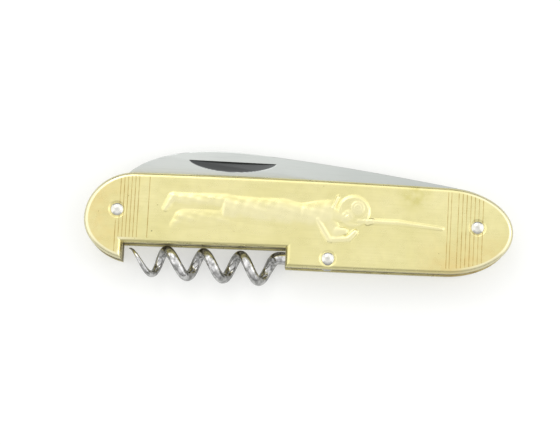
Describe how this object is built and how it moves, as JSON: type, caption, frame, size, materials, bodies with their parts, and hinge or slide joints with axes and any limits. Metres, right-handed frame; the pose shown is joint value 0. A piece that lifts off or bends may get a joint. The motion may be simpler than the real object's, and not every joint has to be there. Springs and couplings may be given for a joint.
{
  "type": "folding pocket knife with corkscrew",
  "caption": "Folding sailor's knife with a sheepsfoot blade, a side corkscrew and brass covers stamped with a figure and cross grooves.",
  "frame": {"origin": "middle of the folded knife's outline, at the height of the lowest point of the rear cover's raised figure", "axes": "+X along the handle towards the blade pin, +Y across it towards the folded blade's back, +Z out of the front cover"},
  "size_m": [0.0952, 0.0296, 0.0104],
  "materials": {
    "brass": "polished, lightly worn pressed sheet",
    "packing": "raw strip, hidden",
    "liner_steel": "dull rolled sheet",
    "spring_steel": "hardened, dull",
    "blade_steel": "fine satin grind",
    "plated_wire": "bright nickel plate",
    "pin_metal": "domed and burnished"
  },
  "bodies": {
    "handle": {"front_cover": "brass", "rear_cover": "brass", "front_packing": "packing", "rear_packing": "packing", "front_liner": "liner_steel", "rear_liner": "liner_steel", "back_spring": "spring_steel", "blade_pin": "pin_metal", "corkscrew_pin": "pin_metal", "spring_pin": "pin_metal"},
    "blade": {"blade": "blade_steel"},
    "corkscrew": {"corkscrew": "plated_wire"}
  },
  "joints": [
    {"name": "blade_pivot", "type": "hinge", "parent": "handle", "child": "blade", "pos_m": [0.03955, 0.00026, 0.0052], "axis": [0, 0, -1], "range_deg": [0, 174]},
    {"name": "corkscrew_pivot", "type": "hinge", "parent": "handle", "child": "corkscrew", "pos_m": [0.00685, -0.00831, 0.0052], "axis": [0, 0, 1], "range_deg": [0, 130]}
  ]
}
